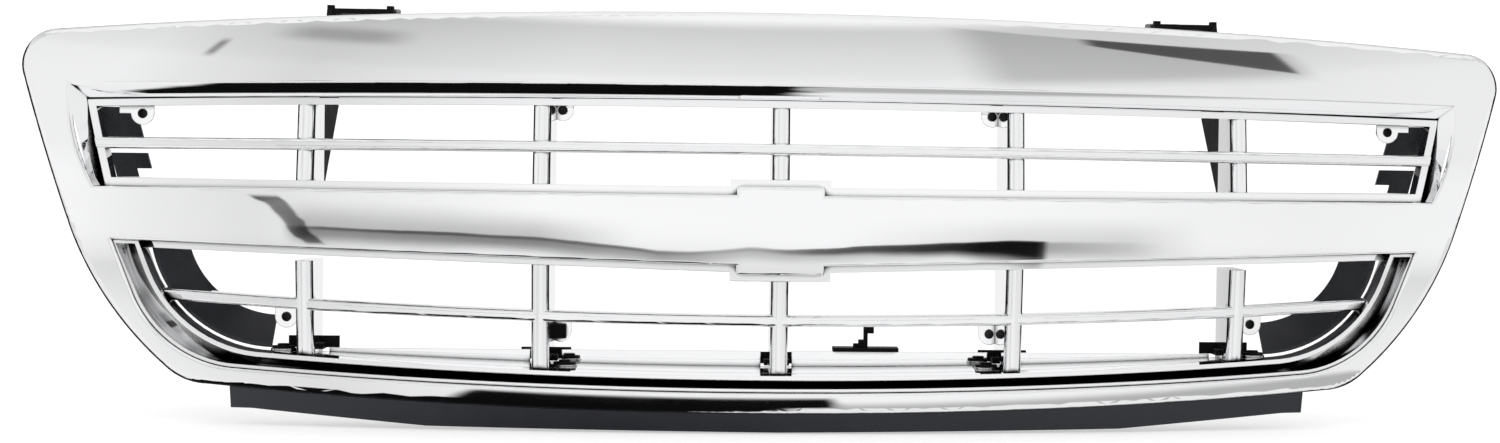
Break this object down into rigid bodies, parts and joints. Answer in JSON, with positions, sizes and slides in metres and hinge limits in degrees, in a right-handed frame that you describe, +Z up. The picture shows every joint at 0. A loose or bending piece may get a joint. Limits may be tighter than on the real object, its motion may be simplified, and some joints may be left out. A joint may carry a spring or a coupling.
{
  "type": "vehicle front grille",
  "caption": "Bowed chrome front grille for a minivan with barred upper and lower openings, black mounting brackets and a black lower strip.",
  "frame": {"origin": "centre of the flat badge seat on the nose of the grille", "axes": "+X across the vehicle, to the right when seen from the front; +Y towards the rear of the vehicle; +Z up"},
  "size_m": [1.1499, 0.2, 0.32],
  "materials": {
    "chrome_plate": "mirror",
    "charcoal_plastic": "satin",
    "black_plastic": "satin",
    "zinc_steel": "satin"
  },
  "bodies": {
    "grille": {"front_shell": "chrome_plate", "upper_insert": "chrome_plate", "lower_insert": "chrome_plate", "lower_molding": "chrome_plate", "upper_baffle_left": "charcoal_plastic", "upper_baffle_right": "charcoal_plastic", "lower_baffle_left": "charcoal_plastic", "lower_baffle_right": "charcoal_plastic", "upper_bracket_left": "black_plastic", "upper_bracket_right": "black_plastic", "lower_deflector": "charcoal_plastic", "support_rail": "black_plastic", "post_saddles": "black_plastic", "hook_clip": "black_plastic", "tab_clip": "black_plastic", "bracket_screws": "zinc_steel", "bracket_nuts": "zinc_steel", "deflector_screws": "zinc_steel", "retainer_grommets": "black_plastic"},
    "pin_outer_left_body": {"retainer_pin_outer_left": "black_plastic"},
    "pin_outer_right_body": {"retainer_pin_outer_right": "black_plastic"},
    "pin_inner_left_body": {"retainer_pin_inner_left": "black_plastic"},
    "pin_inner_right_body": {"retainer_pin_inner_right": "black_plastic"}
  },
  "joints": [
    {"name": "pin_outer_left_lift", "type": "slide", "parent": "grille", "child": "pin_outer_left_body", "axis": [0, 0, 1], "range_m": [0, 0.006]},
    {"name": "pin_outer_right_lift", "type": "slide", "parent": "grille", "child": "pin_outer_right_body", "axis": [0, 0, 1], "range_m": [0, 0.006]},
    {"name": "pin_inner_left_lift", "type": "slide", "parent": "grille", "child": "pin_inner_left_body", "axis": [0, 0, 1], "range_m": [0, 0.006]},
    {"name": "pin_inner_right_lift", "type": "slide", "parent": "grille", "child": "pin_inner_right_body", "axis": [0, 0, 1], "range_m": [0, 0.006]}
  ]
}
